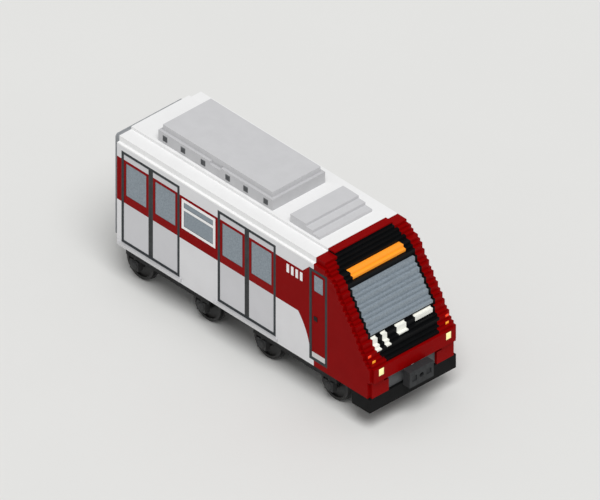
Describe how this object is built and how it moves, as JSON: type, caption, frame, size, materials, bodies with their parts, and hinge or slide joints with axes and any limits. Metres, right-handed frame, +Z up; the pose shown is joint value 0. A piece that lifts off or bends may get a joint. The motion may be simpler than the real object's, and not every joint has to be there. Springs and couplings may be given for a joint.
{
  "type": "metro driving car",
  "caption": "Metro driving car with a stepped raked nose, plug doors, roof air conditioner, rear gangway and bogies that turn under the body.",
  "frame": {"origin": "middle of the bounding box on the ground under the wheel flanges", "axes": "+X along the track towards the nose, +Y to the car's left side, +Z up"},
  "size_m": [8.54, 2.66, 4.1599],
  "materials": {
    "red_paint": "satin two-pack paint",
    "grey_paint": "satin two-pack paint",
    "white_paint": "satin two-pack paint",
    "door_grey": "satin two-pack paint",
    "unit_grey": "satin powder coat",
    "mask_black": "gloss moulded panel",
    "dark_frame": "matt paint",
    "glazing": "tinted laminated glass",
    "sign_amber": "lit amber panel, blank",
    "plate_white": "blank white plate",
    "lamp_white": "pale yellow lens",
    "lamp_red": "red lens",
    "lamp_amber": "amber lens",
    "coupler_iron": "matt grey casting",
    "housing_grey": "matt paint",
    "apron_black": "matt black paint",
    "bellows_rubber": "coated fabric folds",
    "footplate_aluminium": "ribbed plate",
    "step_aluminium": "anodised plate",
    "underframe_paint": "matt underframe paint",
    "bogie_paint": "matt bogie paint",
    "axlebox_iron": "matt casting",
    "spring_rubber": "black rubber",
    "wheel_steel": "dark forged steel"
  },
  "bodies": {
    "car_body": {"floor": "underframe_paint", "sole_bars": "underframe_paint", "bolsters": "underframe_paint", "headstock": "underframe_paint", "wall_right": "grey_paint", "wall_left": "grey_paint", "band_right": "red_paint", "band_left": "red_paint", "cantrails": "grey_paint", "end_wall": "grey_paint", "roof": "white_paint", "door_frames_right": "dark_frame", "door_frames_left": "dark_frame", "door_leaves_right": "door_grey", "door_leaves_left": "door_grey", "door_nosings": "dark_frame", "door_panes": "glazing", "door_steps": "step_aluminium", "window_frames": "white_paint", "window_panes": "glazing", "vent_slats": "white_paint", "cab_side_right": "red_paint", "cab_side_left": "red_paint", "cab_door_frames": "dark_frame", "nose": "red_paint", "mask": "mask_black", "windscreen": "glazing", "destination_panel": "sign_amber", "front_plates": "plate_white", "headlamps": "lamp_white", "tail_lamps": "lamp_red", "indicator_lamps": "lamp_amber", "coupler_housing": "housing_grey", "front_apron": "apron_black", "bellows": "bellows_rubber", "footplate": "footplate_aluminium", "roof_unit": "unit_grey", "roof_unit_lid": "unit_grey", "intakes": "dark_frame", "front_roof_unit": "unit_grey", "traction_case": "underframe_paint"},
    "right_cab_door": {"cab_door_right": "red_paint", "cab_pane_right": "glazing", "cab_handle_right": "dark_frame"},
    "left_cab_door": {"cab_door_left": "red_paint", "cab_pane_left": "glazing", "cab_handle_left": "dark_frame"},
    "coupler_arm": {"coupler": "coupler_iron"},
    "rear_bogie": {"bogie_rear": "bogie_paint", "axleboxes_rear": "axlebox_iron", "air_springs_rear": "spring_rubber"},
    "front_bogie": {"bogie_front": "bogie_paint", "axleboxes_front": "axlebox_iron", "air_springs_front": "spring_rubber"},
    "axle_1": {"wheelset_1": "wheel_steel"},
    "axle_2": {"wheelset_2": "wheel_steel"},
    "axle_3": {"wheelset_3": "wheel_steel"},
    "axle_4": {"wheelset_4": "wheel_steel"}
  },
  "joints": [
    {"name": "rear_bogie_yaw", "type": "hinge", "parent": "car_body", "child": "rear_bogie", "pos_m": [-2.485, 0, 0.69], "axis": [0, 0, 1], "range_deg": [-5, 5]},
    {"name": "front_bogie_yaw", "type": "hinge", "parent": "car_body", "child": "front_bogie", "pos_m": [1.505, 0, 0.69], "axis": [0, 0, 1], "range_deg": [-5, 5]},
    {"name": "coupler_swing", "type": "hinge", "parent": "car_body", "child": "coupler_arm", "pos_m": [3.39, 0, 1.08], "axis": [0, 0, 1], "range_deg": [-10, 10]},
    {"name": "right_cab_door_hinge", "type": "hinge", "parent": "car_body", "child": "right_cab_door", "pos_m": [2.564, -1.199, 2.1], "axis": [0, 0, -1], "range_deg": [0, 90]},
    {"name": "left_cab_door_hinge", "type": "hinge", "parent": "car_body", "child": "left_cab_door", "pos_m": [2.564, 1.199, 2.1], "axis": [0, 0, 1], "range_deg": [0, 90]},
    {"name": "axle_1_spin", "type": "hinge", "parent": "rear_bogie", "child": "axle_1", "pos_m": [-3.535, 0, 0.448], "axis": [0, 1, 0], "continuous": true},
    {"name": "axle_2_spin", "type": "hinge", "parent": "rear_bogie", "child": "axle_2", "pos_m": [-1.435, 0, 0.448], "axis": [0, 1, 0], "continuous": true},
    {"name": "axle_3_spin", "type": "hinge", "parent": "front_bogie", "child": "axle_3", "pos_m": [0.455, 0, 0.448], "axis": [0, 1, 0], "continuous": true},
    {"name": "axle_4_spin", "type": "hinge", "parent": "front_bogie", "child": "axle_4", "pos_m": [2.555, 0, 0.448], "axis": [0, 1, 0], "continuous": true}
  ]
}
